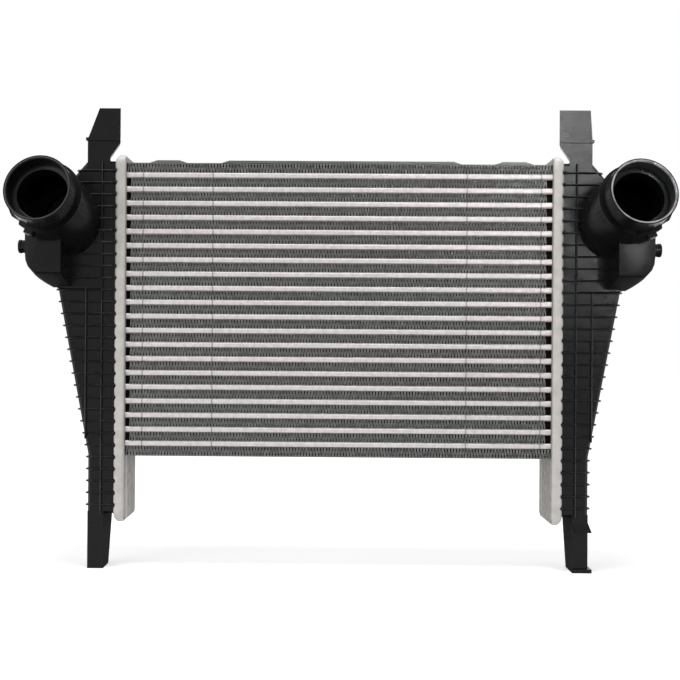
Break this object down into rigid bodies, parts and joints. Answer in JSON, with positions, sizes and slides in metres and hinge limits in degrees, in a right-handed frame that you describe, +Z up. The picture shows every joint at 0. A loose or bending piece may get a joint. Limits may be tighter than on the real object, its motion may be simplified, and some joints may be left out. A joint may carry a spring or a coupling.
{
  "type": "intercooler",
  "caption": "Charge air cooler: brazed flat-tube and pleated-fin core between two header plates with crimped, ribbed plastic tanks, forward spigots, ears and feet.",
  "frame": {"origin": "middle of the part's width and depth, at the level of the undersides of the feet", "axes": "+X across the core from the left tank to the right tank as seen from the spigots' side, +Y from the spigots' side to the back, +Z up"},
  "size_m": [0.6404, 0.1582, 0.4645],
  "materials": {
    "aluminium": "brazed, matt",
    "fin": "brazed, matt",
    "header": "pressed, matt",
    "plastic": "moulded, satin",
    "rubber": "moulded"
  },
  "bodies": {
    "root": {"tube_01": "aluminium", "tube_02": "aluminium", "tube_03": "aluminium", "tube_04": "aluminium", "tube_05": "aluminium", "tube_06": "aluminium", "tube_07": "aluminium", "tube_08": "aluminium", "tube_09": "aluminium", "tube_10": "aluminium", "tube_11": "aluminium", "tube_12": "aluminium", "tube_13": "aluminium", "tube_14": "aluminium", "tube_15": "aluminium", "tube_16": "aluminium", "tube_17": "aluminium", "tube_18": "aluminium", "tube_19": "aluminium", "tube_20": "aluminium", "fin_01": "fin", "fin_02": "fin", "fin_03": "fin", "fin_04": "fin", "fin_05": "fin", "fin_06": "fin", "fin_07": "fin", "fin_08": "fin", "fin_09": "fin", "fin_10": "fin", "fin_11": "fin", "fin_12": "fin", "fin_13": "fin", "fin_14": "fin", "fin_15": "fin", "fin_16": "fin", "fin_17": "fin", "fin_18": "fin", "fin_19": "fin", "fin_20": "fin", "fin_21": "fin", "inner_fins": "fin", "top_side_plate": "header", "bottom_side_plate": "header", "left_header": "header", "right_header": "header", "left_gasket": "rubber", "right_gasket": "rubber", "left_tank": "plastic", "right_tank": "plastic"}
  },
  "joints": []
}
